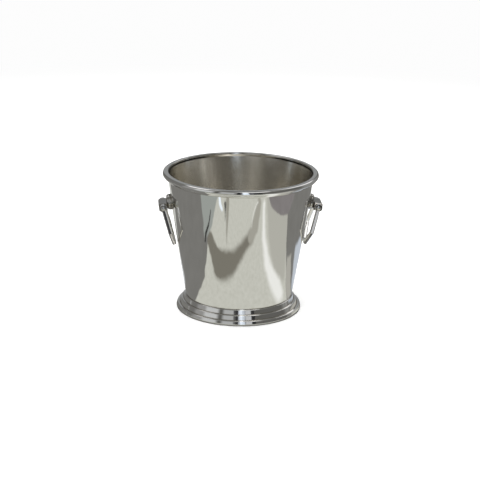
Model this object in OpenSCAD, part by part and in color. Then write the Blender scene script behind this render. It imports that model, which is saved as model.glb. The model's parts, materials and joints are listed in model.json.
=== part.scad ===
// Silver champagne bucket: a tapered spun body on a stepped hollow foot, with an applied
// rim moulding and two angular drop handles that swing on pins through hinge blocks.
// Origin: centre of the underside of the foot. +Z is up and the handles are on -X and +X.

/* [Body] */
// Height of the whole bucket, foot to rim
total_h = 200; // [180:1:230]
// Outside radius of the body wall where it leaves the foot
body_foot_r = 75.8; // [72:0.2:78]
// Outside radius of the body wall under the rim moulding
body_rim_r = 102.1; // [98:0.2:104]
// How far the wall bellies out from a straight line, halfway up
wall_belly = 1.0; // [0:0.1:1.5]
// Thickness of the spun body wall
wall_t = 1.5; // [1.2:0.1:2]
// Thickness of the body's floor
floor_t = 1.8; // [1.4:0.1:2.4]
// Radius of the bend between wall and floor, on the inside
floor_bend_r = 8; // [5:1:12]

/* [Rim] */
// Greatest radius of the rim moulding
rim_r = 110; // [108:0.5:114]
// Height of the rim moulding from its lower edge to its top
rim_h = 11; // [9:0.5:13]

/* [Foot] */
// Outside radius of the lowest step
foot_r = 89; // [86:0.5:92]
// Width of each tread, from one step to the next
tread = 4.8; // [4:0.1:5]
// Number of steps in the foot
steps = 3; // [2:1:3]
// Radius of the rounded upper edge of each step
step_round = 1.2; // [0.8:0.1:2]
// Lean of each riser in towards its top, in degrees
riser_lean = 17; // [0:1:18]
// Height of the upright band at the bottom of the foot, where the edge wire is soldered
foot_band = 2.4; // [2.3:0.1:3]
// Height of the stepped part of the foot
foot_h = 19.5; // [18:0.5:22]
// Thickness of the foot's metal
foot_t = 1.6; // [1.2:0.1:2]
// Diameter of the edge wire soldered inside the foot's lower edge
edge_wire_d = 3.2; // [2.4:0.2:4]

/* [Backplates] */
// Diameter of the round backplate that each hinge block stands on
plate_d = 23; // [22:0.5:24]
// Radius of the backplate's rounded front edge
plate_round = 3.4; // [3:0.1:3.6]
// How far the middle of the backplate is above the hinge line
plate_up = 3; // [2:0.5:4]

/* [Hinges] */
// Height of the hinge line above the foot's underside
hinge_z = 150.5; // [148:0.5:154]
// Distance of the hinge line from the bucket's axis
hinge_r = 109.5; // [109:0.1:110]
// Length of the hinge block along the pin
block_l = 29; // [28:0.5:30]
// Depth of the hinge block, square to the wall
block_d = 12; // [11:0.5:13]
// Height of the hinge block
block_h = 11; // [10:0.5:12]
// Size of the bevels on the hinge block
block_bevel = 1.6; // [1:0.1:2]
// Diameter of the hinge pin
pin_d = 4; // [3.6:0.1:4.4]
// Radial clearance of the handle's eyes on the pin
pin_gap = 0.05; // [0.03:0.01:0.09]
// Diameter of the riveted heads on the pin
pin_head_d = 6.4; // [6:0.1:7]
// Thickness of the riveted heads on the pin
pin_head_t = 1.4; // [1.2:0.1:1.6]

/* [Handles] */
// Width and thickness of the handle's bar
bar_w = 5.6; // [5:0.1:6]
// Size of the bevels along the handle's bar
bar_bevel = 1.2; // [0.8:0.1:1.4]
// Outside diameter of the eyes
eye_d = 11; // [10:0.2:11.4]
// Length of each eye along the pin
eye_l = 5.4; // [5:0.1:6]
// Gap between an eye and the block or the pin's head
eye_gap = 0.4; // [0.3:0.05:0.5]
// Distance from the hinge line to the bend in the arms
bend_s = 34.5; // [32:0.5:35]
// Distance of the bend from the handle's middle line
bend_t = 28; // [27:0.5:29]
// Distance from the hinge line to the middle of the bottom bar
drop_s = 56.5; // [55:0.5:60]
// Half the length of the bottom bar
bottom_t = 6.5; // [5:0.5:8]
// Lean of the handle from upright, in towards the wall, at rest
rest_lean = 16.5; // [14:0.5:17]

/* [Hidden] */
$fn = 96;
silver = [0.80, 0.79, 0.77];
pin_silver = [0.70, 0.69, 0.67];

// The wall's outside, from the foot up to the rim moulding and on, straight, behind it
step_h = foot_h / steps;
rim_z = total_h - rim_h;
wall_h = rim_z - foot_h;
wall_slope = (body_rim_r - body_foot_r) / wall_h;
function belly(s) = s > 1 ? -4 * wall_belly * (s - 1) : 4 * wall_belly * s * (1 - s);
function wall_r(z) = body_foot_r + wall_slope * (z - foot_h) + belly((z - foot_h) / wall_h);
wall_bands = 12;
wall_zs = [for (i = [0:wall_bands]) foot_h + wall_h * i / wall_bands];

// The wall stops under the cap of the rim moulding
cap_t = 1.4;
wall_top = total_h - cap_t;
rim_lip_r = wall_r(total_h) - wall_t;

// The foot's flange reaches in under the floor, where it is soldered
foot_flange_r = 60;

// The hinge block and its backplate stand square to the wall, at hinge height
wall_angle = atan((wall_r(hinge_z + 5) - wall_r(hinge_z - 5)) / 10);
plate_seat = hinge_r - wall_r(hinge_z) + 4;
eye_t0 = block_l / 2 + eye_gap;
eye_t = eye_t0 + eye_l / 2;
pin_half_l = eye_t0 + eye_l + eye_gap;

// Points along an arc
function arc(centre, r, a0, a1, n) =
  [for (i = [0:n]) let (a = a0 + (a1 - a0) * i / n) centre + r * [cos(a), sin(a)]];

// A bar swept along a path in the plane of u and v, with mitred corners
function unit(v) = v / norm(v);
function path_dir(p, i) = unit(p[i + 1] - p[i]);
function left_of(d) = [-d[1], d[0]];
function mitre(p, i) =
  i == 0 ? left_of(path_dir(p, 0)) :
  i == len(p) - 1 ? left_of(path_dir(p, i - 1)) :
  let (a = left_of(path_dir(p, i - 1)), b = left_of(path_dir(p, i)), m = unit(a + b))
  m / (m * a);

function bevelled_square(w, c) = let (h = w / 2, k = w / 2 - c)
  [[h, -k], [h, k], [k, h], [-k, h], [-h, k], [-h, -k], [-k, -h], [k, -h]];

module mitred_bar(path, section) {
  n = len(section);
  m = len(path);
  points = [
    for (i = [0:m - 1])
      for (s = section)
        let (q = path[i] + mitre(path, i) * s[0])
        [q[0], q[1], s[1]]
  ];
  sides = [
    for (i = [0:m - 2])
      for (j = [0:n - 1])
        [i * n + j, (i + 1) * n + j, (i + 1) * n + (j + 1) % n, i * n + (j + 1) % n]
  ];
  ends = [
    [for (j = [0:n - 1]) j],
    [for (j = [n - 1:-1:0]) (m - 1) * n + j],
  ];
  polyhedron(points, concat(sides, ends));
}

// Puts a shape made on the +X side on either side of the bucket
module on_side(side) {
  rotate([0, 0, side > 0 ? 0 : 180]) children();
}

// Turns a shape so that its local X stands square to the wall at hinge height
module on_wall() {
  translate([hinge_r, 0, hinge_z]) rotate([0, wall_angle, 0]) children();
}

// The body: wall and floor spun from one disc, with a bent corner between them
module body() {
  floor_z = foot_h + floor_t;
  corner_r = wall_r(floor_z + floor_bend_r) - wall_t;
  color(silver)
  rotate_extrude()
  polygon(concat(
    [[0, foot_h]],
    [for (z = wall_zs) [wall_r(z), z]],
    [[wall_r(wall_top), wall_top], [wall_r(wall_top) - wall_t, wall_top]],
    [for (i = [wall_bands:-1:1]) [wall_r(wall_zs[i]) - wall_t, wall_zs[i]]],
    arc([corner_r - floor_bend_r, floor_z + floor_bend_r], floor_bend_r, 0, -90, 6),
    [[0, floor_z]]
  ));
}

// The rim moulding: a ring soldered round the mouth that caps the wall's edge
module rim_moulding() {
  color(silver)
  rotate_extrude()
  polygon([
    [wall_r(rim_z), rim_z],
    [rim_r - 3.2, rim_z + 2.6],
    [rim_r - 1.2, rim_z + 4.8],
    [rim_r, rim_z + 7.6],
    [rim_r - 0.5, total_h - 1.6],
    [rim_r - 2.2, total_h - 0.4],
    [rim_r - 4.5, total_h],
    [rim_lip_r + 0.8, total_h],
    [rim_lip_r, total_h - 0.6],
    [wall_r(wall_top) - wall_t, wall_top],
    [wall_r(wall_top), wall_top],
  ]);
}

// How far the riser of a step has leaned in at a height above the table
function riser_start(i) = i == 0 ? foot_band : i * step_h;
function leaned(i, z) = (z - riser_start(i)) * tan(riser_lean);

// The foot: a hollow spun ring with leaning, rounded steps outside and the same steps inside
module foot() {
  color(silver)
  rotate_extrude()
  polygon(concat(
    [[foot_r, 0]],
    [for (i = [0:steps - 1])
      let (r = foot_r - i * tread, z = (i + 1) * step_h - step_round)
      each concat(
        [[r, riser_start(i)]],
        arc([r - leaned(i, z) - step_round / cos(riser_lean), z], step_round, riser_lean, 90, 6)
      )],
    [
      [foot_flange_r, foot_h],
      [foot_flange_r, foot_h - foot_t],
    ],
    [for (i = [steps - 1:-1:0])
      let (r = foot_r - i * tread - foot_t, top = (i + 1) * step_h - foot_t)
      each [[r - leaned(i, top), top], [r, i == 0 ? foot_band : i * step_h - foot_t]]],
    [[foot_r - foot_t, 0]]
  ));
}

// The wire soldered inside the foot's lower edge, filed flat where it meets foot and table
module foot_edge_wire() {
  wire_r = edge_wire_d / 2;
  flat = 0.85 * wire_r;
  color(silver)
  rotate_extrude()
  intersection() {
    translate([foot_r - foot_t - flat, flat]) circle(r = wire_r, $fn = 24);
    translate([foot_flange_r, 0]) square([foot_r - foot_t - foot_flange_r, step_h]);
  }
}

// The room that the body fills, up to the rim moulding
module body_room() {
  rotate_extrude($fn = 192)
  polygon(concat(
    [[0, foot_h]],
    [for (z = wall_zs) [wall_r(z), z]],
    [[0, rim_z]]
  ));
}

// A backplate: a round boss with a rounded front edge, its back cut to the wall's curve
module backplate(side) {
  face = plate_seat - block_d / 2;
  plate_r = plate_d / 2;
  color(silver)
  on_side(side)
  difference() {
    on_wall()
      translate([-plate_seat, 0, plate_up]) rotate([0, 90, 0])
      rotate_extrude()
      polygon(concat(
        [[0, 0], [plate_r, 0]],
        arc([plate_r - plate_round, face - plate_round], plate_round, 0, 90, 8),
        [[0, face]]
      ));
    body_room();
  }
}

// A hinge block: a bevelled bar, bored for its pin
module hinge_block(side) {
  color(silver)
  on_side(side)
  difference() {
    on_wall()
      translate([0, block_l / 2, 0]) rotate([90, 0, 0])
      linear_extrude(block_l)
      polygon([
        [-block_d / 2, -block_h / 2],
        [block_d / 2 - block_bevel, -block_h / 2],
        [block_d / 2, -block_h / 2 + block_bevel],
        [block_d / 2, block_h / 2 - block_bevel],
        [block_d / 2 - block_bevel, block_h / 2],
        [-block_d / 2, block_h / 2],
      ]);
    translate([hinge_r, block_l, hinge_z]) rotate([90, 0, 0])
      cylinder(h = 2 * block_l, d = pin_d);
  }
}

// A hinge pin with a riveted head at each end
module hinge_pin(side) {
  color(pin_silver)
  on_side(side)
  translate([hinge_r, 0, hinge_z]) rotate([90, 0, 0]) {
    cylinder(h = 2 * pin_half_l, d = pin_d, center = true);
    for (end = [0, 1])
      mirror([0, 0, end]) translate([0, 0, pin_half_l])
      cylinder(h = pin_head_t, d = pin_head_d);
  }
}

// A handle: two eyes on the pin, arms that spread to a bend, and a short bottom bar
module handle(side) {
  path = [
    [0, -eye_t],
    [bend_s, -bend_t],
    [drop_s, -bottom_t],
    [drop_s, bottom_t],
    [bend_s, bend_t],
    [0, eye_t],
  ];
  color(silver)
  on_side(side)
  translate([hinge_r, 0, hinge_z]) rotate([0, 90 + rest_lean, 0])
  difference() {
    union() {
      mitred_bar(path, bevelled_square(bar_w, bar_bevel));
      for (end = [-1, 1])
        translate([0, end * eye_t, 0]) rotate([90, 0, 0])
        cylinder(h = eye_l, d = eye_d, center = true);
    }
    rotate([90, 0, 0])
      cylinder(h = 3 * pin_half_l, d = pin_d + 2 * pin_gap, center = true);
    for (end = [0, 1])
      mirror([0, end, 0]) translate([0, eye_t0 + eye_l, 0]) rotate([-90, 0, 0])
      cylinder(h = eye_d, d = pin_head_d + 2 * eye_gap);
  }
}

body();
rim_moulding();
foot();
foot_edge_wire();
backplate(-1);  // left_backplate
hinge_block(-1);  // left_hinge_block
hinge_pin(-1);  // left_hinge_pin
handle(-1);  // left_handle
backplate(1);  // right_backplate
hinge_block(1);  // right_hinge_block
hinge_pin(1);  // right_hinge_pin
handle(1);  // right_handle
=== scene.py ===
import json
import math

import bpy
import mathutils
import numpy as np
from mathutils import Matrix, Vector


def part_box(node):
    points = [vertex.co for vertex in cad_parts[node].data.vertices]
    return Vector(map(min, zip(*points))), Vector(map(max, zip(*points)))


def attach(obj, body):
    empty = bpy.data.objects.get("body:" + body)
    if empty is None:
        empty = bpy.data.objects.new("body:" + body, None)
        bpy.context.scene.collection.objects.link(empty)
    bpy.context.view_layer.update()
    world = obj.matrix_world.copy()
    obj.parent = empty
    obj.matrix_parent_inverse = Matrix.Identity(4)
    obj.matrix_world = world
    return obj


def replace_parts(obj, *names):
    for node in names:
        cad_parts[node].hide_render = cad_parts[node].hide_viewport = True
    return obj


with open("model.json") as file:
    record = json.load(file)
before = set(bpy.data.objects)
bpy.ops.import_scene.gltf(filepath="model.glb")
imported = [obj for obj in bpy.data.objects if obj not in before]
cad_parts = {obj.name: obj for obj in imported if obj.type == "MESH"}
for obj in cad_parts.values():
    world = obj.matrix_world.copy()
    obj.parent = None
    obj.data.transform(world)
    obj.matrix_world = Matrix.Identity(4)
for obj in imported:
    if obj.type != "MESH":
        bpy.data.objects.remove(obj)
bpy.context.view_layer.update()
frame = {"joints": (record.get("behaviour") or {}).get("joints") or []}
MM = 0.001


# ---- Body -------------------------------------------------------------------------------
# The body is spun from one disc of nickel silver: a slightly bellied wall and a floor with a
# bent corner between them. It is silver plated, mirror polished outside and left satin inside,
# where the lathe's fine rings still show.

class Socket:
    """One output of a shader node. Arithmetic on it adds Math nodes."""

    def __init__(self, tree, link):
        self.tree = tree
        self.link = link

    def math(self, operation, *values):
        return self.tree.add("ShaderNodeMath", {"operation": operation}, *values)[0]

    def __add__(self, other):
        return self.math("ADD", self, other)

    def __sub__(self, other):
        return self.math("SUBTRACT", self, other)

    def __rsub__(self, other):
        return self.math("SUBTRACT", other, self)

    def __mul__(self, other):
        return self.math("MULTIPLY", self, other)

    def __truediv__(self, other):
        return self.math("DIVIDE", self, other)

    def absolute(self):
        return self.math("ABSOLUTE", self)

    def larger_of(self, other):
        return self.math("MAXIMUM", self, other)

    def smaller_of(self, other):
        return self.math("MINIMUM", self, other)

    def degrees_from(self, other):
        """The angle in degrees whose sine and cosine go as this value and the other one."""
        return self.math("ARCTAN2", self, other) * (180 / math.pi)

    def length_with(self, other):
        """The length of the flat vector that this value and the other one make."""
        return self.math("SQRT", self * self + other * other)

    def rise(self, low, high):
        """0 below low, 1 above high, and a smooth rise between them. It falls if low is above high."""
        settings = {"interpolation_type": "SMOOTHSTEP", "clamp": True}
        return self.tree.add("ShaderNodeMapRange", settings, self, low, high)[0]


class Tree:
    """The node tree of a material or of the world, empty at first."""

    def __init__(self, owner):
        owner.use_nodes = True
        self.nodes = owner.node_tree.nodes
        self.links = owner.node_tree.links
        self.nodes.clear()

    def add(self, kind, settings, *values, **named):
        """Adds a node of a type, sets its settings and then its sockets, and returns its outputs."""
        node = self.nodes.new(kind)
        for name, value in settings.items():
            setattr(node, name, value)
        self.fill(node, [*enumerate(values), *((k.replace("_", " "), v) for k, v in named.items())])
        return [Socket(self, output) for output in node.outputs]

    def fill(self, node, sockets):
        """Links or sets a node's inputs, which come as (index or name, value) pairs."""
        for name, value in sockets:
            if isinstance(value, Socket):
                self.links.new(value.link, node.inputs[name])
            else:
                node.inputs[name].default_value = value

    def place(self):
        """The object's own coordinates as a vector and as x, y and z."""
        vector = self.add("ShaderNodeTexCoord", {})[3]
        return vector, *self.add("ShaderNodeSeparateXYZ", {}, vector)

    def stretched(self, vector, across, up):
        """The vector scaled by one factor in x and y and by another in z."""
        scale = (across, across, up)
        return self.add("ShaderNodeVectorMath", {"operation": "MULTIPLY"}, vector, scale)[0]

    def noise(self, vector, scale, detail):
        return self.add("ShaderNodeTexNoise", {}, Vector=vector, Scale=scale, Detail=detail)[0]

    def mix_colours(self, share, low, high):
        """A colour that goes from low to high as share goes from 0 to 1. The node has inputs for numbers
        and vectors too, so the ones for colours are numbers 6 and 7, and the output is number 2."""
        node = self.nodes.new("ShaderNodeMix")
        node.data_type = "RGBA"
        self.fill(node, ((0, share), (6, low), (7, high)))
        return Socket(self, node.outputs[2])

    def bump(self, height, depth, under=None):
        """Normals tilted by a height field of that depth in metres, on top of earlier ones."""
        named = {"Strength": 1.0, "Distance": depth, "Height": height}
        if under is not None:
            named["Normal"] = under
        return self.add("ShaderNodeBump", {}, **named)[0]


def silver(name, clean, tarnish, tarnish_mask, roughness, wave, grain, waves_per_metre=26.0):
    """Silver plate: a clean colour that turns to a tarnished one where the mask says, a roughness with
    faint polishing smears, slow waves in the metal and a fine grain left by polishing in rings.
    tarnish_mask takes the tree and x, y, z and returns 0 to 1; wave and grain are depths in metres."""
    material = bpy.data.materials.new(name)
    tree = Tree(material)
    vector, x, y, z = tree.place()
    mask = tarnish_mask(tree, x, y, z)
    colour = tree.mix_colours(mask, clean, tarnish)
    smears_per_metre = 28.0
    smears = tree.noise(vector, smears_per_metre, 3.0).rise(0.35, 0.75)
    rough = smears * (0.35 * roughness) + (0.85 * roughness) + mask * 0.12
    slow = tree.bump(tree.noise(vector, waves_per_metre, 2.0), wave)
    rings = tree.stretched(vector, 60.0, 3600.0)
    fine = tree.bump(tree.noise(rings, 1.0, 2.0), grain, slow)
    shader = tree.add(
        "ShaderNodeBsdfPrincipled", {},
        Base_Color=colour, Metallic=1.0, Roughness=rough, Normal=fine,
    )[0]
    tree.add("ShaderNodeOutputMaterial", {}, shader)
    return material


def arc(centre, radius, start, stop, steps):
    """Points at a radius round a centre, from one angle in degrees to another."""
    angles = np.radians(np.linspace(start, stop, steps + 1))
    return np.asarray(centre) + radius * np.stack([np.cos(angles), np.sin(angles)], 1)


def rounded(corners, steps):
    """A closed outline with its corners turned into arcs. Each corner is (u, v, radius): its arc touches
    both sides at radius * tan(half the turn) from the corner. Returns the points and their outward
    normals, for corners that run anticlockwise round the solid."""
    corners = np.asarray(corners, float)
    at = corners[:, :2]
    ahead = np.roll(at, -1, 0) - at
    ahead /= np.linalg.norm(ahead, axis=1)[:, None]
    behind = np.roll(ahead, 1, 0)
    turn = np.arctan2(
        behind[:, 0] * ahead[:, 1] - behind[:, 1] * ahead[:, 0],
        (behind * ahead).sum(1),
    )
    side = np.where(turn >= 0, 1.0, -1.0)[:, None]
    inward = side * np.stack([-behind[:, 1], behind[:, 0]], 1)
    centre = at - behind * (corners[:, 2] * np.tan(np.abs(turn) / 2))[:, None]
    centre = centre + inward * corners[:, 2:3]
    share = np.linspace(0, 1, steps + 1)[None, :, None]
    angle = np.arctan2(-inward[:, 1], -inward[:, 0])[:, None, None] + turn[:, None, None] * share
    spoke = np.concatenate([np.cos(angle), np.sin(angle)], 2)
    points = centre[:, None, :] + corners[:, 2][:, None, None] * spoke
    normals = side[:, None, :] * spoke
    return points.reshape(-1, 2), normals.reshape(-1, 2)


def skin(name, rows, facing, poles=None, closed=False):
    """A mesh from a grid of points: rows[i, j] joins rows[i + 1, j] and rows[i, j + 1], each row is a
    ring, and closed joins the last row to the first. poles are two (point, normal) pairs that close
    the first and the last ring. facing holds the exact normal at each point."""
    count, around = rows.shape[:2]
    points = rows.reshape(-1, 3)
    normals = facing.reshape(-1, 3)
    i, j = np.meshgrid(np.arange(count if closed else count - 1), np.arange(around), indexing="ij")
    after, beside = (i + 1) % count, (j + 1) % around
    quads = np.stack(
        [i * around + j, i * around + beside, after * around + beside, after * around + j], -1
    )
    faces = quads.reshape(-1, 4).tolist()
    if poles:
        ring = np.arange(around)
        beside = (ring + 1) % around
        first, last = len(points), len(points) + 1
        end = (count - 1) * around
        points = np.concatenate([points, [poles[0][0], poles[1][0]]])
        normals = np.concatenate([normals, [poles[0][1], poles[1][1]]])
        faces += np.stack([np.full(around, first), beside, ring], 1).tolist()
        faces += np.stack([np.full(around, last), end + ring, end + beside], 1).tolist()
    mesh = bpy.data.meshes.new(name)
    mesh.from_pydata(points.tolist(), [], faces)
    mesh.shade_smooth()
    lengths = np.linalg.norm(normals, axis=1)[:, None]
    mesh.normals_split_custom_set_from_vertices((normals / np.maximum(lengths, 1e-9)).tolist())
    piece = bpy.data.objects.new(name, mesh)
    bpy.context.scene.collection.objects.link(piece)
    return piece


def lathe(name, outline, facing, around):
    """Turns an outline about the Z axis: the point (r, z) goes to (r cos a, r sin a, z). An outline
    that starts and ends on the axis gets a pole at each end, and any other one is closed."""
    turn = np.linspace(0, 2 * np.pi, around, endpoint=False)
    outline = np.asarray(outline, float)
    facing = np.asarray(facing, float)
    on_axis = outline[0, 0] == 0 and outline[-1, 0] == 0
    poles = None
    if on_axis:
        poles = [((0, 0, outline[k, 1]), (0, 0, facing[k, 1])) for k in (0, -1)]
        outline, facing = outline[1:-1], facing[1:-1]

    def swept(flat):
        return np.stack(
            [flat[:, :1] * np.cos(turn), flat[:, :1] * np.sin(turn), flat[:, 1:] + 0 * turn], -1
        )

    return skin(name, swept(outline), swept(facing), poles, closed=not on_axis)


def slopes(outline):
    """Outward normals along an open outline whose solid lies on its left, from central differences."""
    along = np.gradient(outline, axis=0)
    normals = np.stack([along[:, 1], -along[:, 0]], 1)
    return normals / np.linalg.norm(normals, axis=1)[:, None]


body_low, body_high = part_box("body")
rim_low, rim_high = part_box("rim_moulding")
floor_under = body_low.z
wall_t = 1.5 * MM
floor_t = 1.8 * MM
wall_foot_r = 75.8 * MM
wall_rim_r = 102.1 * MM
belly = 1.0 * MM
corner_r = 8 * MM
wall_h = rim_low.z - floor_under


def wall_r(z):
    """The wall's outside radius: a straight taper plus a parabola that bellies out by belly halfway up.
    Above the rim moulding's lower edge it goes on along the tangent."""
    share = (z - floor_under) / wall_h
    curve = np.where(share > 1, 1 - share, share * (1 - share))
    return wall_foot_r + (wall_rim_r - wall_foot_r) * share + 4 * belly * curve


edge = 0.4 * MM
up = np.linspace(floor_under + edge, body_high.z - edge, 72)
outside = np.stack([wall_r(up), up], 1)
inside_foot = floor_under + floor_t + corner_r
down = np.linspace(body_high.z - edge, inside_foot, 64)
inside = np.stack([wall_r(down) - wall_t, down], 1)
corner = arc((inside[-1, 0] - corner_r, inside_foot), corner_r, 0, -90, 12)
floor_out = corner[-1, 0]
dish = 0.25 * MM
floor_r = np.linspace(floor_out, 0, 24)
floor_line = np.stack([floor_r, corner[-1, 1] - dish * np.sin(np.pi * floor_r / floor_out) ** 2], 1)
base_r = np.linspace(0, wall_foot_r - edge, 6)
base_line = np.stack([base_r, 0 * base_r + floor_under], 1)
foot_bend = arc((outside[0, 0] - edge, up[0]), edge, -90, 0, 4)
lip = arc((outside[-1, 0] - wall_t / 2, up[-1]), wall_t / 2, 0, 180, 6)
lip[:, 1] = up[-1] + (lip[:, 1] - up[-1]) * edge / (wall_t / 2)
outer_line = np.concatenate([base_line, foot_bend[1:-1], outside, lip[1:-1]])
inner_line = np.concatenate([inside, corner[1:-1], floor_line])
body_line = np.concatenate([outer_line, inner_line])
body_around = 256
body = lathe("body_shell", body_line, slopes(body_line), body_around)


def no_tarnish(tree, x, y, z):
    return z * 0.0


def tarnish_by_the_foot(tree, x, y, z):
    """Tarnish in the corner between wall and foot, and under the rim, with a ragged edge."""
    ragged = tree.noise(tree.place()[0], 60.0, 3.0) * (3.0 * MM)
    low = (z + ragged).rise(floor_under + 4.0 * MM, floor_under + 1.2 * MM)
    high = (z - ragged).rise(rim_low.z - 2.6 * MM, rim_low.z - 0.2 * MM)
    return (low + high) * 0.6


silver_clean = (0.915, 0.905, 0.875, 1)
silver_dull = (0.46, 0.42, 0.35, 1)
polished = silver(
    "polished_silver", silver_clean, silver_dull, tarnish_by_the_foot,
    roughness=0.045, wave=8e-5, grain=1.5e-6,
)


def ice_marks(tree, x, y, z):
    """Dull patches low inside, where ice and water have stood, fading out a third of the way up, and
    faint upright runs where water has dried on the wall."""
    vector = tree.place()[0]
    patches = tree.noise(vector, 22.0, 4.0).rise(0.42, 0.68)
    runs = tree.noise(tree.stretched(vector, 150.0, 4.0), 1.0, 2.0).rise(0.40, 0.72)
    return patches * z.rise(floor_under + 75 * MM, floor_under + 5 * MM) * 0.4 + runs * 0.28


satin = silver(
    "satin_silver_inside", (0.90, 0.87, 0.80, 1), (0.60, 0.57, 0.50, 1), ice_marks,
    roughness=0.17, wave=2.0e-5, grain=3.0e-5,
)
body.data.materials.append(polished)
body.data.materials.append(satin)
# The faces run up the outside and down the inside, then come the fan that closes the underside
# and the fan that closes the floor.
inner_first = (len(outer_line) - 1) * body_around
slot_of_face = np.zeros(len(body.data.polygons), np.int32)
slot_of_face[inner_first:-2 * body_around] = 1
slot_of_face[-body_around:] = 1
body.data.polygons.foreach_set("material_index", slot_of_face)
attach(body, "bucket")
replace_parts(body, "body")


# ---- Rim moulding -----------------------------------------------------------------------
# A drawn moulding of the same metal, bent to a ring and soldered round the mouth. It caps the
# wall's cut edge with a narrow flat, rolls over in a bead and ends in a small fillet below.

rim_r = rim_high.x
rim_lip_r = float(wall_r(rim_high.z)) - wall_t
rim_wall_r = float(wall_r(rim_low.z))


def smooth_through(points, steps=8):
    """A curve through points, which at each one runs along the line between its two neighbours: a
    cubic on each stretch. The first and the last point only give the direction."""
    points = np.asarray(points, float)
    a, b, c, d = points[:-3, None], points[1:-2, None], points[2:-1, None], points[3:, None]
    t = np.linspace(0, 1, steps, endpoint=False)[None, :, None]
    curve = b + 0.5 * t * (c - a + t * (2 * a - 5 * b + 4 * c - d + t * (3 * (b - c) + d - a)))
    return np.concatenate([curve.reshape(-1, 2), points[-2:-1]])


bead_line = smooth_through(np.array([
    (rim_wall_r - 0.4 * MM, rim_low.z), (rim_wall_r + 0.2 * MM, rim_low.z + 0.1 * MM),
    (rim_r - 5.6 * MM, rim_low.z + 0.9 * MM), (rim_r - 3.3 * MM, rim_low.z + 2.5 * MM),
    (rim_r - 1.2 * MM, rim_low.z + 4.6 * MM), (rim_r - 0.05 * MM, rim_low.z + 6.7 * MM),
    (rim_r - 0.35 * MM, rim_high.z - 2.4 * MM), (rim_r - 1.1 * MM, rim_high.z - 1.05 * MM),
    (rim_r - 2.5 * MM, rim_high.z - 0.22 * MM), (rim_r - 4.6 * MM, rim_high.z),
    (rim_lip_r + 0.9 * MM, rim_high.z), (rim_lip_r + 0.25 * MM, rim_high.z - 0.2 * MM),
    (rim_lip_r, rim_high.z - 0.75 * MM), (rim_lip_r, body_high.z - 0.8 * MM),
]))
seat_line = np.array([
    (rim_lip_r + 0.1 * MM, body_high.z - 0.8 * MM), (rim_wall_r - 0.7 * MM, body_high.z - 0.8 * MM),
    (rim_wall_r - 0.7 * MM, rim_low.z + 0.1 * MM),
])
rim_line = np.concatenate([bead_line, seat_line])
rim_facing = np.concatenate([slopes(bead_line), [(0, -1.0), (-0.7, -0.7), (-0.7, -0.7)]])
rim = lathe("rim_bead", rim_line, rim_facing, 288)


def tarnish_under_rim(tree, x, y, z):
    """Tarnish in the corner under the fillet, with a ragged edge."""
    ragged = tree.noise(tree.place()[0], 90.0, 3.0) * (1.2 * MM)
    return (z + ragged).rise(rim_low.z + 2.4 * MM, rim_low.z + 0.6 * MM) * 0.5


rim.data.materials.append(silver(
    "rim_silver", silver_clean, silver_dull, tarnish_under_rim,
    roughness=0.045, wave=1.2e-5, grain=1.0e-6,
))
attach(rim, "bucket")
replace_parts(rim, "rim_moulding")


# ---- Foot -------------------------------------------------------------------------------
# A hollow ring spun over a former with three steps, each one a riser that leans in, a rounded
# edge and a narrow tread. Its flange is soldered under the floor.

foot_low, foot_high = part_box("foot")
steps = 3
foot_r = foot_high.x
tread = 4.8 * MM
step_h = (foot_high.z - foot_low.z) / steps
step_round = 1.2 * MM
riser_slope = math.tan(math.radians(17))
foot_band = 2.4 * MM
foot_t = 1.6 * MM
flange_r = 60 * MM
outer = [(foot_r, 0, 0.35 * MM), (foot_r, foot_band, 1.5 * MM)]
inner = [(foot_r - foot_t, foot_band, 0.3 * MM), (foot_r - foot_t, 0, 0.15 * MM)]
for step in range(steps):
    riser_r = foot_r - step * tread
    start, top = max(foot_band, step * step_h), (step + 1) * step_h
    outer.append((riser_r - (top - start) * riser_slope, top, step_round))
    if step > 0:
        inner.insert(0, (riser_r - foot_t, start - foot_t, 0.4 * MM))
    if step < steps - 1:
        outer.append((riser_r - tread, top, 0.4 * MM))
    leaned = (top - foot_t - start) * riser_slope
    inner.insert(0, (riser_r - leaned - foot_t, top - foot_t, 0.5 * MM))
foot_corners = outer + [
    (flange_r, foot_high.z, 0.3 * MM), (flange_r, foot_high.z - foot_t, 0.3 * MM)
] + inner
foot_line, foot_facing = rounded(foot_corners, steps=7)
foot = lathe("stepped_foot", foot_line, foot_facing, 288)


def tarnish_on_treads(tree, x, y, z):
    """Tarnish in the corner at the back of each tread and under the foot's hollow."""
    radius = x.length_with(y)
    ragged = tree.noise(tree.place()[0], 80.0, 3.0) * (0.9 * MM)
    mask = radius.rise(flange_r + 12 * MM, flange_r + 4 * MM)
    for step in range(1, steps + 1):
        corner_at = foot_r - step * tread
        across = (radius - corner_at).absolute()
        above = (z - step * step_h).absolute()
        near = across.length_with(above) + ragged
        mask = mask + near.rise(1.9 * MM, 0.5 * MM) * 0.7
    return mask.smaller_of(1.0)


foot.data.materials.append(silver(
    "foot_silver", silver_clean, silver_dull, tarnish_on_treads,
    roughness=0.05, wave=1.6e-5, grain=1.2e-6,
))
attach(foot, "bucket")
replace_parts(foot, "foot")


# ---- Foot edge wire ---------------------------------------------------------------------
# A round wire soldered inside the foot's lower edge, which keeps the thin spun edge round. It is
# filed flat by 15 per cent of its radius on the two sides that touch the foot and the table.

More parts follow.
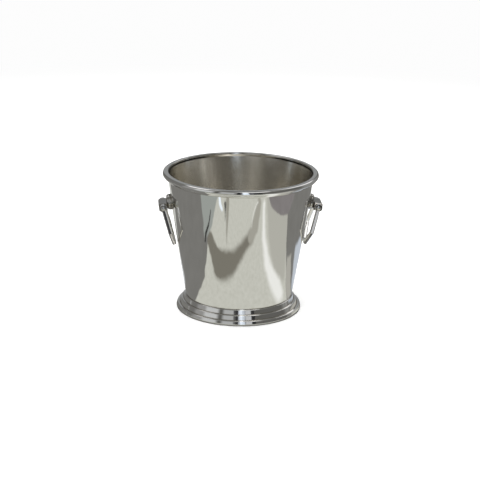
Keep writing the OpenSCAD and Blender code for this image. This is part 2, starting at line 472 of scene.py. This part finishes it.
_, wire_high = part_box("foot_edge_wire")
wire_r = 1.6 * MM
wire_kept = 0.85
wire_flat = wire_kept * wire_r
wire_out = wire_high.x
wire_centre = (wire_out - wire_flat, wire_flat)
open_angle = math.degrees(math.acos(wire_kept))
wire_curve = arc(wire_centre, wire_r, open_angle, 270 - open_angle, 18)
wire_line = np.concatenate([wire_curve, [(wire_out, 0.0)]])
wire_facing = np.concatenate([(wire_curve - wire_centre) / wire_r, [(0.7, -0.7)]])
wire = lathe("foot_wire", wire_line, wire_facing, 192)
wire_silver = silver(
    "wire_silver", (0.89, 0.875, 0.84, 1), silver_dull, no_tarnish,
    roughness=0.07, wave=4e-5, grain=1.5e-6, waves_per_metre=120.0,
)
wire.data.materials.append(wire_silver)
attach(wire, "bucket")
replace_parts(wire, "foot_edge_wire")


# ---- Backplates -------------------------------------------------------------------------
# A cast round boss on each side, filed at the back to sit on the curve of the wall and soldered
# to it. Its front edge is rounded, and a thin flange shows round its root.

def beside(side, points):
    """Puts points made on the +X side on the side that side says, by half a turn about Z."""
    return points * np.array([side, side, 1.0])


hinge_places = {joint["child"]: joint["pos_m"] for joint in frame["joints"]}
hinge_r, _, hinge_z = hinge_places["right_drop_handle"]
wall_step = 5 * MM
lean = math.atan((wall_r(hinge_z + wall_step) - wall_r(hinge_z - wall_step)) / (2 * wall_step))
out_of_wall = np.array([math.cos(lean), 0, -math.sin(lean)])
along_pin = np.array([0.0, 1.0, 0.0])
up_wall = np.array([math.sin(lean), 0, math.cos(lean)])
hinge_at = np.array([hinge_r, 0, hinge_z])
plate_r = 11.5 * MM
plate_face = -6 * MM
plate_round = 3.4 * MM
plate_up = 3 * MM
plate_sunk = 0.6 * MM


def backplate(name, side):
    """A disc about the wall's normal: at angle a its side starts where a line along the normal, at the
    plate's radius, meets the wall. It runs out over a thin flange and a slanting groove to a
    quarter-round edge, and closes on a flat face."""
    angle = np.linspace(0, 2 * np.pi, 96, endpoint=False)
    spoke = np.cos(angle)[:, None] * along_pin + np.sin(angle)[:, None] * up_wall
    centre = hinge_at + plate_up * up_wall

    def at(radius, out):
        return centre + radius * spoke + np.asarray(out).reshape(-1, 1) * out_of_wall

    seat = np.full(len(angle), -13 * MM)
    for _ in range(12):
        point = at(plate_r, seat)
        seat = seat - (np.hypot(point[:, 0], point[:, 1]) - wall_r(point[:, 2]))
    flange = 0.5 * MM
    rows = [at(plate_r, seat - plate_sunk), at(plate_r, seat + flange)]
    facing = [spoke, spoke]
    groove_in, groove_out = 0.35 * MM, 0.39 * MM
    for share in np.linspace(-1, 1, 5):
        groove_r = plate_r - 0.5 * MM + share * groove_in
        rows.append(at(groove_r, seat + flange + 0.45 * MM + share * groove_out))
        facing.append(spoke + out_of_wall)
    edge_start = plate_face - plate_round
    for k in np.linspace(0, 90, 13):
        a = math.radians(k)
        radius = plate_r - 0.35 * MM - plate_round + plate_round * math.cos(a)
        rows.append(at(radius, edge_start + plate_round * math.sin(a)))
        facing.append(math.cos(a) * spoke + math.sin(a) * out_of_wall)
    rows, facing = np.array(rows), np.array(facing)
    back = centre + out_of_wall * float(np.min(seat) - plate_sunk)
    front = centre + out_of_wall * plate_face
    poles = [(beside(side, back), beside(side, -out_of_wall)),
             (beside(side, front), beside(side, out_of_wall))]
    piece = skin(name, beside(side, rows), beside(side, facing), poles)
    piece.data.materials.append(boss_silver)
    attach(piece, "bucket")
    return piece


def tarnish_at_wall(tree, x, y, z):
    """Tarnish close to the wall, in the solder line round a fitting, and in small blotches."""
    radius = x.length_with(y)
    above = (z - floor_under) / wall_h
    wall = above * (wall_rim_r - wall_foot_r) + wall_foot_r + 0.8 * MM
    ragged = tree.noise(tree.place()[0], 220.0, 3.0) * (1.2 * MM)
    blotches = tree.noise(tree.place()[0], 300.0, 3.0).rise(0.42, 0.62) * 0.6
    in_solder = (radius - wall + ragged).rise(2.6 * MM, 0.8 * MM) * 0.8
    return in_solder.larger_of(blotches)


boss_silver = silver(
    "boss_silver", (0.60, 0.59, 0.565, 1), silver_dull, tarnish_at_wall,
    roughness=0.07, wave=2.4e-4, grain=1.5e-6, waves_per_metre=150.0,
)
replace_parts(backplate("left_boss", -1), "left_backplate")
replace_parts(backplate("right_boss", 1), "right_backplate")


# ---- Hinge blocks -----------------------------------------------------------------------
# A bar of cast metal on each boss, bored along its length for the pin. All its edges are
# filed to bevels, and polishing has rounded them a little.

block_d = 12 * MM
block_h = 11 * MM
block_l = 29 * MM
block_bevel = 1.6 * MM
end_bevel = 0.9 * MM


def bevelled_outline(width, height, bevel, back_bevel, soft):
    """A rectangle with cut corners, the two on the back smaller, and every corner softened."""
    w, h = width / 2, height / 2
    return rounded([
        (-w + back_bevel, -h, soft), (w - bevel, -h, soft), (w, -h + bevel, soft),
        (w, h - bevel, soft), (w - bevel, h, soft), (-w + back_bevel, h, soft),
        (-w, h - back_bevel, soft), (-w, -h + back_bevel, soft),
    ], steps=3)


def hinge_block(name, side):
    """The outline carried along the pin's line. Near each end it shrinks by the end bevel over the
    same length, so the end faces are smaller than the section."""
    outline, facing = bevelled_outline(block_d, block_h, block_bevel, 0.4 * MM, 0.3 * MM)
    half = block_l / 2
    tilt = math.sqrt(0.5)
    stations = [
        (-half, end_bevel, 0.0, -1.0), (-half, end_bevel, tilt, -tilt),
        (-half + end_bevel, 0, tilt, -tilt), (-half + end_bevel, 0, 1.0, 0.0),
        (half - end_bevel, 0, 1.0, 0.0), (half - end_bevel, 0, tilt, tilt),
        (half, end_bevel, tilt, tilt), (half, end_bevel, 0.0, 1.0),
    ]
    rows, ups = [], []
    for place, inset, sideways, along in stations:
        shrunk = outline * (1 - 2 * inset / np.array([block_d, block_h]))
        rows.append(hinge_at + shrunk[:, :1] * out_of_wall + shrunk[:, 1:] * up_wall
                    + place * along_pin)
        ups.append(sideways * (facing[:, :1] * out_of_wall + facing[:, 1:] * up_wall)
                   + along * along_pin)
    rows, ups = np.array(rows)[:, ::-1], np.array(ups)[:, ::-1]
    poles = [(beside(side, hinge_at + k * half * along_pin), beside(side, k * along_pin))
             for k in (-1, 1)]
    piece = skin(name, beside(side, rows), beside(side, ups), poles)
    piece.data.materials.append(block_silver)
    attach(piece, "bucket")
    return piece


def tarnish_at_block_ends(tree, x, y, z):
    """Tarnish on the end faces, where polish doesn't reach, and in small blotches elsewhere."""
    blotches = tree.noise(tree.place()[0], 260.0, 3.0).rise(0.42, 0.64) * 0.5
    return y.absolute().rise(block_l / 2 - 0.5 * MM, block_l / 2) * 0.4 + blotches


block_silver = silver(
    "block_silver", (0.50, 0.49, 0.47, 1), silver_dull, tarnish_at_block_ends,
    roughness=0.06, wave=4.0e-4, grain=1.5e-6, waves_per_metre=170.0,
)
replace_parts(hinge_block("left_block", -1), "left_hinge_block")
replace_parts(hinge_block("right_block", 1), "right_hinge_block")


# ---- Hinge pins -------------------------------------------------------------------------
# A length of nickel silver rod through block and eyes, its ends riveted over to low domes
# that keep the handle on.

pin_r = 2.0 * MM
head_r = 3.2 * MM
head_t = 1.4 * MM
head_edge = 0.5 * MM
eye_gap = 0.4 * MM
eye_l = 5.4 * MM
pin_half = block_l / 2 + 2 * eye_gap + eye_l


def hinge_pin(name, side):
    """An outline (radius, place along the pin) turned about the pin's line: domed head, shank, domed
    head. The dome is an arc from the head's edge to the pin's line."""
    dome = np.radians(np.linspace(90, 0, 9))
    dome_h = head_t - head_edge
    head = np.stack([head_r * np.cos(dome), head_edge + dome_h * np.sin(dome)], 1)
    half_line = np.concatenate([head, [(head_r, 0.0), (pin_r, 0.0)]])
    half_line[:, 1] += pin_half
    line = np.concatenate([half_line, (half_line * (1, -1))[::-1]])[::-1]
    facing = slopes(line)
    turn = np.linspace(0, 2 * np.pi, 40, endpoint=False)
    x_axis, z_axis = np.array([1.0, 0, 0]), np.array([0, 0, 1.0])
    spoke = np.cos(turn)[:, None] * z_axis + np.sin(turn)[:, None] * x_axis
    inner, ups = line[1:-1], facing[1:-1]
    rows = hinge_at + inner[:, None, :1] * spoke + inner[:, None, 1:] * along_pin
    normals = ups[:, None, :1] * spoke + ups[:, None, 1:] * along_pin
    poles = [(beside(side, hinge_at + line[k, 1] * along_pin), beside(side, s * along_pin))
             for k, s in ((0, -1), (-1, 1))]
    piece = skin(name, beside(side, rows), beside(side, normals), poles)
    piece.data.materials.append(pin_metal)
    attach(piece, "bucket")
    return piece


pin_metal = silver(
    "pin_nickel_silver", (0.74, 0.72, 0.68, 1), silver_dull, no_tarnish,
    roughness=0.16, wave=3e-6, grain=2.5e-6,
)
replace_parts(hinge_pin("left_pin", -1), "left_hinge_pin")
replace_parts(hinge_pin("right_pin", 1), "right_hinge_pin")


# ---- Handles ----------------------------------------------------------------------------
# Each handle is one casting: two eyes on the pin, arms that spread to a bend, and sides that
# close in on a short bottom bar. The bar is filed to an eight-sided section with mitred bends.

rest_lean = math.radians(16.5)
bar_w = 5.6 * MM
bar_bevel = 1.2 * MM
eye_t = block_l / 2 + eye_gap + eye_l / 2
eye_r = 5.5 * MM
eye_bore = pin_r + 0.05 * MM
bend_s, bend_t = 34.5 * MM, 28 * MM
drop_s, bottom_t = 56.5 * MM, 6.5 * MM
root_r = head_r + eye_gap + 0.15 * MM
down_handle = np.array([-math.sin(rest_lean), 0, -math.cos(rest_lean)])
out_of_handle = np.array([math.cos(rest_lean), 0, -math.sin(rest_lean)])


def handle_bar():
    """The section carried along the path in the handle's plane, cut at each bend by the plane that
    halves the turn, and at each root by a cylinder about the pin. Returns rows of points, and for
    each stretch between two rows the section's own normals."""
    path = np.array([
        (0, -eye_t), (bend_s, -bend_t), (drop_s, -bottom_t),
        (drop_s, bottom_t), (bend_s, bend_t), (0, eye_t),
    ])
    ahead = np.diff(path, axis=0)
    ahead /= np.linalg.norm(ahead, axis=1)[:, None]
    left = np.stack([-ahead[:, 1], ahead[:, 0]], 1)
    section, facing = bevelled_outline(bar_w, bar_w, bar_bevel, bar_bevel, 0.22 * MM)
    halved = left[:-1] + left[1:]
    halved /= np.linalg.norm(halved, axis=1)[:, None]
    halved /= (halved * left[1:]).sum(1)[:, None]
    across = np.concatenate([left[:1], halved, left[-1:]])
    flat = path[:, None, :] + across[:, None, :] * section[None, :, :1]
    for end, way in ((0, ahead[0]), (-1, -ahead[-1])):
        reach = np.sqrt(root_r ** 2 - section[:, 1] ** 2)
        flat[end] += way * ((reach - flat[end][:, 0]) / way[0])[:, None]
    high = np.broadcast_to(section[:, 1], flat.shape[:2])
    rows = (hinge_at + flat[..., :1] * down_handle + flat[..., 1:] * along_pin
            + high[..., None] * out_of_handle)
    ups = (left[:, None, :] * facing[None, :, :1])
    normals = (ups[..., :1] * down_handle + ups[..., 1:] * along_pin
               + np.broadcast_to(facing[:, 1], ups.shape[:2])[..., None] * out_of_handle)
    return rows, normals


def handle(name, side):
    """The bar, closed at both roots, and two eyes: rings about the pin with softened edges."""
    rows, normals = handle_bar()
    count, around = rows.shape[:2]
    points = list(rows.reshape(-1, 3))
    i, j = np.meshgrid(np.arange(count - 1), np.arange(around), indexing="ij")
    beside_j = (j + 1) % around
    quads = np.stack([i * around + j, i * around + beside_j,
                      (i + 1) * around + beside_j, (i + 1) * around + j], -1).reshape(-1, 4)
    corner_normals = np.stack([normals[i, j], normals[i, beside_j],
                               normals[i, beside_j], normals[i, j]], 2).reshape(-1, 4, 3)
    faces = quads.tolist()
    split = corner_normals.reshape(-1, 3).tolist()
    ring = np.arange(around)
    for root in (ring[::-1], (count - 1) * around + ring):
        faces.append(root.tolist())
        split += [(-down_handle).tolist()] * around
    eye_line, eye_facing = rounded([
        (eye_bore, -eye_l / 2, 0.25 * MM), (eye_r, -eye_l / 2, 0.7 * MM),
        (eye_r, eye_l / 2, 0.7 * MM), (eye_bore, eye_l / 2, 0.25 * MM),
    ], steps=5)
    turn = np.linspace(0, 2 * np.pi, 56, endpoint=False)
    spoke = np.cos(turn)[:, None] * down_handle - np.sin(turn)[:, None] * out_of_handle
    m = len(turn)
    for place in (-eye_t, eye_t):
        ring = hinge_at + eye_line[:, None, :1] * spoke + (eye_line[:, None, 1:] + place) * along_pin
        ups = eye_facing[:, None, :1] * spoke + eye_facing[:, None, 1:] * along_pin
        first = len(points)
        points += list(ring.reshape(-1, 3))
        i, j = np.meshgrid(np.arange(len(eye_line)), np.arange(m), indexing="ij")
        after, beside_j = (i + 1) % len(eye_line), (j + 1) % m
        quads = np.stack([i * m + j, i * m + beside_j, after * m + beside_j, after * m + j], -1)
        faces += (quads.reshape(-1, 4) + first).tolist()
        split += np.stack([ups[i, j], ups[i, beside_j], ups[after, beside_j], ups[after, j]],
                          2).reshape(-1, 3).tolist()
    mesh = bpy.data.meshes.new(name)
    mesh.from_pydata(beside(side, np.array(points)).tolist(), [], faces)
    mesh.shade_smooth()
    mesh.normals_split_custom_set(beside(side, np.array(split)).tolist())
    piece = bpy.data.objects.new(name, mesh)
    bpy.context.scene.collection.objects.link(piece)
    piece.data.materials.append(handle_silver)
    return piece


def tarnish_round_pin(tree, x, y, z):
    """Tarnish in the eyes, near the pin, where polish doesn't reach."""
    sideways = x.absolute() - hinge_r
    near = sideways.length_with(z - hinge_z)
    return near.rise(4.6 * MM, 2.4 * MM) * 0.6


handle_silver = silver(
    "handle_silver", (0.905, 0.89, 0.86, 1), silver_dull, tarnish_round_pin,
    roughness=0.06, wave=5e-5, grain=1.2e-6, waves_per_metre=110.0,
)
for side, word in ((-1, "left"), (1, "right")):
    piece = handle(word + "_handle_casting", side)
    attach(piece, word + "_drop_handle")
    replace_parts(piece, word + "_handle")


# ---- Floor ------------------------------------------------------------------------------
# A plain pale studio floor that curves up into a backdrop all round. Near the bucket it is matt
# and takes the soft light and the bucket's shadow, and further out it glows evenly.

def stage_surface(name, rings, around=96):
    """A surface turned about the Z axis from rings (r, z), closed in the middle, facing up."""
    turn = np.linspace(0, 2 * np.pi, around, endpoint=False)
    rings = np.asarray(rings, float)
    rows = np.stack([rings[:, :1] * np.cos(turn), rings[:, :1] * np.sin(turn),
                     rings[:, 1:] + 0 * turn], -1)
    i, j = np.meshgrid(np.arange(len(rings) - 1), np.arange(around), indexing="ij")
    beside_j = (j + 1) % around
    quads = np.stack([i * around + j, (i + 1) * around + j,
                      (i + 1) * around + beside_j, i * around + beside_j], -1)
    ring = np.arange(around)
    middle = np.stack([np.full(around, rows.shape[0] * around), ring, (ring + 1) % around], 1)
    points = np.concatenate([rows.reshape(-1, 3), [(0, 0, rings[0, 1])]])
    mesh = bpy.data.meshes.new(name)
    mesh.from_pydata(points.tolist(), [], quads.reshape(-1, 4).tolist() + middle.tolist())
    mesh.shade_smooth()
    piece = bpy.data.objects.new(name, mesh)
    bpy.context.scene.collection.objects.link(piece)
    return piece


floor_z = -0.4 * MM
flat_r, curve_r, backdrop_h = 5.0, 3.0, 7.0
curve_up = arc((flat_r, floor_z + curve_r), curve_r, -90, 0, 16)
floor = stage_surface("studio_floor", [
    (0.2, floor_z), (1.0, floor_z), (3.0, floor_z), *curve_up, (flat_r + curve_r, backdrop_h),
])
floor_paint = bpy.data.materials.new("pale_floor")
tree = Tree(floor_paint)
vector, x, y, z = tree.place()
grain = tree.noise(vector, 40.0, 3.0)
shade = tree.mix_colours(grain, (0.90, 0.90, 0.895, 1), (0.92, 0.92, 0.915, 1))
matt = tree.add("ShaderNodeBsdfDiffuse", {}, shade)[0]
pale_glow = tree.add("ShaderNodeEmission", {}, (0.98, 0.98, 0.98, 1), 1.0)[0]
outer_part = x.length_with(y).rise(0.7, 1.8)
paint = tree.add("ShaderNodeMixShader", {}, outer_part, matt, pale_glow)[0]
tree.add("ShaderNodeOutputMaterial", {}, paint)
floor.data.materials.append(floor_paint)
floor.visible_glossy = False
floor.visible_diffuse = False


# ---- Table card -------------------------------------------------------------------------
# What the polished metal sees below it: a dark table top with a sheet of pale paper in front, a
# soft shadow across the sheet, lighter patches beside it and, past the table, a floor with a
# dark figure on it. The camera doesn't see the card.

card = stage_surface("table_card", [(0.05, -0.8 * MM), (3.0, -0.8 * MM)])
card.visible_camera = False
card.visible_diffuse = False
card.visible_transmission = False
card.visible_shadow = False
card_paint = bpy.data.materials.new("table_card")
tree = Tree(card_paint)
vector, x, y, z = tree.place()


def beyond(point_a, point_b, soft):
    """1 on the left of the line from a to b, 0 on its right, with a soft edge, in metres."""
    (ax, ay), (bx, by) = point_a, point_b
    run = math.hypot(bx - ax, by - ay)
    nx, ny = -(by - ay) / run, (bx - ax) / run
    distance = x * nx + y * ny - (ax * nx + ay * ny)
    return distance.rise(-soft / 2, soft / 2)


def inside_of(points, soft):
    """1 inside a convex outline that runs anticlockwise."""
    mask = 1.0
    for a, b in zip(points, points[1:] + points[:1]):
        mask = beyond(a, b, soft) * mask
    return mask


def streak(point_a, point_b, radius_a, radius_b, soft):
    """1 in a tapered bar with round ends, from a to b, with a soft edge."""
    (ax, ay), (bx, by) = point_a, point_b
    square = (bx - ax) ** 2 + (by - ay) ** 2
    along = (x - ax) * ((bx - ax) / square) + (y - ay) * ((by - ay) / square)
    along = along.larger_of(0.0).smaller_of(1.0)
    off = (x - (along * (bx - ax) + ax)).length_with(y - (along * (by - ay) + ay))
    return (off - (along * (radius_b - radius_a) + radius_a)).rise(soft / 2, -soft / 2)


def bar(points, soft):
    """1 in a chain of tapered bars through points (x, y, radius), all in millimetres."""
    mask = 0.0
    for (ax, ay, ar), (bx, by, br) in zip(points, points[1:]):
        ends = (ax * MM, ay * MM), (bx * MM, by * MM)
        mask = streak(*ends, ar * MM, br * MM, soft * MM).larger_of(mask)
    return mask


def patch(points, soft):
    """1 inside a convex outline of points (x, y), anticlockwise, all in millimetres."""
    return inside_of([(across * MM, back * MM) for across, back in points], soft * MM)


def shown(red, green, blue):
    """The light that shows as a screen colour of 0 to 255 after the silver has dimmed it."""
    linear = [((value / 255 + 0.055) / 1.055) ** 2.4 for value in (red, green, blue)]
    return tuple(light / kept for light, kept in zip(linear, silver_clean)) + (1,)


def laid_on(colour, layers):
    """A colour with layers over it, each one a (share, colour) pair, and the last one on top."""
    for share, layer in layers:
        colour = tree.mix_colours(share, colour, layer)
    return colour


def band(value, low, high, soft):
    """1 between low and high, with soft ends."""
    return value.rise(low - soft / 2, low + soft / 2) * value.rise(high + soft / 2, high - soft / 2)


radius = x.length_with(y)
# The bearing is 0 in front of the bucket and grows to its right, up to 180 degrees behind it.
bearing = x.degrees_from(0.0 - y)
shifted = tree.stretched(vector, -1.0, 1.0)
x = x + (tree.noise(vector, 16.0, 3.0) - 0.5) * (26 * MM)
y = y + (tree.noise(shifted, 16.0, 3.0) - 0.5) * (26 * MM)
wobble = tree.noise(vector, 14.0, 2.0)
cloth = tree.noise(vector, 90.0, 3.0)
table_top = tree.mix_colours(wobble, shown(110, 109, 105), shown(124, 123, 119))
ground = laid_on(table_top, [
    (patch([(-244, -138), (-500, -212), (-500, -600), (-250, -600), (-232, -200)], 12),
     shown(150, 154, 149)),
    (patch([(60, 0), (125, -12), (230, -30), (240, 20), (150, 34), (60, 30)], 16),
     shown(168, 166, 158)),
    (patch([(96, 38), (160, 50), (262, 80), (262, 210), (150, 240), (100, 120)], 30),
     shown(186, 192, 199)),
    (bar([(-100, 100, 20), (-130, 240, 30)], 30), shown(200, 202, 202)),
    (patch([(-50, 130), (60, 130), (300, 430), (330, 900), (-330, 900), (-290, 330)], 12),
     shown(188, 188, 182)),
    # A painted shadow across the pale sheet behind the bucket.
    (bar([(-190, 420, 30), (60, 240, 14)], 50), shown(128, 126, 120)),
    (bar([(-640, 40, 40), (-560, 330, 80)], 50), shown(196, 197, 196)),
    (bar([(620, 60, 60), (560, 420, 90)], 60), shown(190, 190, 186)),
])
# A painted shadow across the pale sheet, a U made of three chains of tapered bars.
left_of_painted_shadow = bar([(-236, -170, 16), (-222, -173, 23), (-164, -175, 28), (-120, -175, 42)], 12)
top_of_painted_shadow = bar([(-126, -148, 15), (-104, -152, 15)], 10)
right_of_painted_shadow = bar([
    (-120, -175, 42), (-100, -181, 43), (-72, -201, 34), (-46, -219, 28), (-18, -241, 24), (16, -263, 21),
    (62, -285, 20),
], 26)
painted_sheet_shadow = left_of_painted_shadow.larger_of(top_of_painted_shadow).larger_of(right_of_painted_shadow)
pale_sheet = tree.mix_colours(cloth, shown(178, 178, 167), shown(204, 204, 195))
pale_sheet = laid_on(pale_sheet, [
    (patch([(150, -30), (150, -60), (170, -200), (225, -320), (260, -420), (560, -420), (400, -60)], 30),
     shown(174, 173, 164)),
    # A painted highlight: a bright streak of light across the right of the sheet.
    (bar([(206, -345, 12), (170, -277, 11), (146, -190, 16), (130, -80, 26), (112, -50, 20)], 26),
     shown(232, 232, 227)),
    # The painted shadow across the sheet, then its lighter end running off to the right.
    (painted_sheet_shadow, shown(119, 116, 106)),
    (bar([(62, -285, 19), (100, -308, 27), (135, -345, 24), (160, -372, 20)], 14),
     shown(160, 158, 148)),
    (bar([(76, -313, 2), (92, -347, 3), (108, -366, 4), (150, -378, 5)], 8), shown(214, 214, 206)),
    (bar([(-109, -240, 0.5), (-160, -380, 17)], 9), shown(150, 148, 138)),
    (bar([(-150, -300, 1), (-176, -360, 8)], 7), shown(92, 92, 88)),
    (bar([(-244, -348, 12), (-226, -332, 13), (-196, -326, 9)], 8), shown(232, 240, 246)),
])
sheet = patch([
    (-96, -14), (-165, -88), (-236, -168), (-262, -330), (-240, -640), (700, -640),
    (700, -260), (365, -102), (278, -56), (186, -20), (125, -9),
], 7)
mauve_area = patch([(460, -40), (369, -96), (269, -282), (262, -333), (300, -640), (900, -640)], 9)
dark_strip = bar([(-238, -140, 6), (-251, -159, 7), (-268, -206, 5), (-284, -245, 3)], 7)
far_floor = laid_on(shown(118, 117, 113), [
    (band(bearing, -11, 28, 6), shown(42, 43, 44)),
    (band(bearing, -1, 8, 5), shown(200, 208, 216)),
])
past_table = y.rise(-0.435, -0.465)
# A painted shadow: a dark ring on the table round the foot, where the bucket's contact shadow falls.
painted_foot_shadow = radius.rise(0.100, 0.090)
ground = laid_on(ground, [
    (sheet, pale_sheet),
    (mauve_area, tree.mix_colours(wobble, shown(118, 114, 113), shown(134, 130, 129))),
    (dark_strip, shown(48, 48, 46)),
    (past_table, far_floor),
    (painted_foot_shadow, shown(84, 83, 79)),
])
glow = tree.add("ShaderNodeEmission", {}, ground, 1.0)[0]
tree.add("ShaderNodeOutputMaterial", {}, glow)
card.data.materials.append(card_paint)


# ---- Room -------------------------------------------------------------------------------
# What the metal sees above the table: a grey room with a bright ceiling light, windows as wide
# soft panels, and a dark figure with a bright upright strip in front. The world lights only what
# reflects it.

room = bpy.data.worlds.new("room")
bpy.context.scene.world = room
tree = Tree(room)
vector = tree.add("ShaderNodeTexCoord", {})[0]
x, y, z = tree.add("ShaderNodeSeparateXYZ", {}, vector)
bearing = x.degrees_from(0.0 - y)
height = z.math("ARCSINE", z) * (180 / math.pi)
walls = tree.mix_colours(height.rise(4, 30), shown(92, 91, 87), shown(84, 83, 80))
walls = laid_on(walls, [
    (band(bearing, -150, -98, 16), shown(108, 107, 104)),
    (band(bearing, -97, -70, 12), shown(142, 141, 139)),
    (band(bearing, -74, -45, 9), shown(188, 189, 188)),
    (band(bearing, -35, -11, 8), shown(168, 169, 168)),
    (band(bearing, 46, 92, 20), shown(92, 91, 88)),
    (band(bearing, 98, 152, 14), shown(132, 132, 129)),
    (band(bearing, -196, -164, 12), shown(138, 139, 138)),
    (band(bearing, 164, 196, 12), shown(138, 139, 138)),
])
figure = laid_on(walls, [
    (band(bearing, -9, 28, 2), shown(28, 30, 32)),
    (band(bearing, -1, 8, 3), (1.0, 1.15, 1.35, 1)),
])
low_figure = laid_on(walls, [
    (band(bearing, -14, -4, 3), shown(58, 58, 58)),
    (band(bearing, 15, 21, 2), shown(52, 52, 53)),
    (band(bearing, 4, 15, 3), shown(172, 174, 178)),
    (band(bearing, -4, 4, 3), (0.80, 0.85, 0.95, 1)),
])
cornice = tree.mix_colours(band(bearing, -45, 70, 40), shown(108, 108, 104), shown(134, 134, 130))
high_figure = band(height, 21, 58, 4)
ceiling = tree.mix_colours(band(bearing, -70, 110, 50), shown(96, 96, 93), shown(114, 114, 111))
walls = laid_on(figure, [
    (band(height, 13, 20, 2), low_figure),
    (band(height, 11, 15.6, 1) * band(bearing, 10, 21, 2), shown(186, 187, 188)),
    (height.rise(34, 40), cornice),
    (high_figure * band(bearing, -9, 28, 2), shown(28, 30, 32)),
    (high_figure * band(bearing, -1, 8, 3), (0.95, 1.05, 1.18, 1)),
    (height.rise(50, 66), ceiling),
])


def panel(direction, half_wide, half_high, soft):
    """1 inside a rectangle of the sky round a bearing and a height in degrees. The rectangle lies flat
    one unit away, so its half width and half height are the tangents of their angles."""
    turned, raised = direction
    a, e = math.radians(turned), math.radians(raised)
    ax, ay, az = math.sin(a) * math.cos(e), -math.cos(a) * math.cos(e), math.sin(e)
    sx, sy = math.cos(a), math.sin(a)
    ux, uy, uz = -math.sin(a) * math.sin(e), math.cos(a) * math.sin(e), math.cos(e)
    front = x * ax + y * ay + z * az
    wide = (x * sx + y * sy) / front
    high = (x * ux + y * uy + z * uz) / front
    w, h = math.tan(math.radians(half_wide)), math.tan(math.radians(half_high))
    mask = wide.absolute().rise(w + soft, w - soft) * high.absolute().rise(h + soft, h - soft)
    return mask * front.rise(0.0, 0.05)


lit_room = laid_on(walls, [
    (panel((30, 66), 16, 9, 0.05), (1.5, 1.5, 1.52, 1)),
    (panel((-130, 58), 20, 10, 0.06), (1.0, 1.0, 1.02, 1)),
    (panel((140, 40), 13, 15, 0.06), (0.95, 0.95, 0.97, 1)),
])
sky = tree.add("ShaderNodeBackground", {}, lit_room, 1.0)[0]
tree.add("ShaderNodeOutputWorld", {}, sky)
room.cycles_visibility.camera = False
room.cycles_visibility.diffuse = False


# ---- Light ------------------------------------------------------------------------------
# One broad soft light above, and a weaker one from the front, for the floor near the bucket.

def soft_light(name, at, size, power):
    """A square area light that faces the bucket. Its own shape doesn't show in the metal."""
    data = bpy.data.lights.new(name, "AREA")
    data.size = size
    data.energy = power
    light = bpy.data.objects.new(name, data)
    bpy.context.scene.collection.objects.link(light)
    light.location = at
    aim = mathutils.Vector((0, 0, 0.1)) - mathutils.Vector(at)
    light.rotation_euler = aim.to_track_quat("-Z", "Y").to_euler()
    light.visible_glossy = False
    light.visible_camera = False
    return light


soft_light("overhead_light", (0.0, 0.4, 4.0), 6.0, 420.0)
soft_light("front_light", (-1.0, -3.5, 3.0), 4.0, 120.0)


# ---- Camera -----------------------------------------------------------------------------
# A long lens a little above the rim, turned a little to the left of the front, and rolled by
# about one degree.

camera_data = bpy.data.cameras.new("camera")
camera = bpy.data.objects.new("camera", camera_data)
bpy.context.scene.collection.objects.link(camera)
bpy.context.scene.camera = camera
azimuth = math.radians(-4.5)
elevation = math.radians(17.6)
roll = math.radians(1.05)
target = mathutils.Vector((0, 0, 0.0977))
distance = 2.194
camera_data.sensor_width = 36.0
camera_data.lens = 115.35
camera_data.shift_x = 0.00083
back = mathutils.Vector((
    math.sin(azimuth) * math.cos(elevation),
    -math.cos(azimuth) * math.cos(elevation),
    math.sin(elevation),
))
camera.location = target + back * distance
turn_back = (-back).to_track_quat("-Z", "Y")
camera.rotation_mode = "QUATERNION"
camera.rotation_quaternion = turn_back @ mathutils.Quaternion((0, 0, 1), roll)
bpy.context.scene.view_settings.view_transform = "Standard"
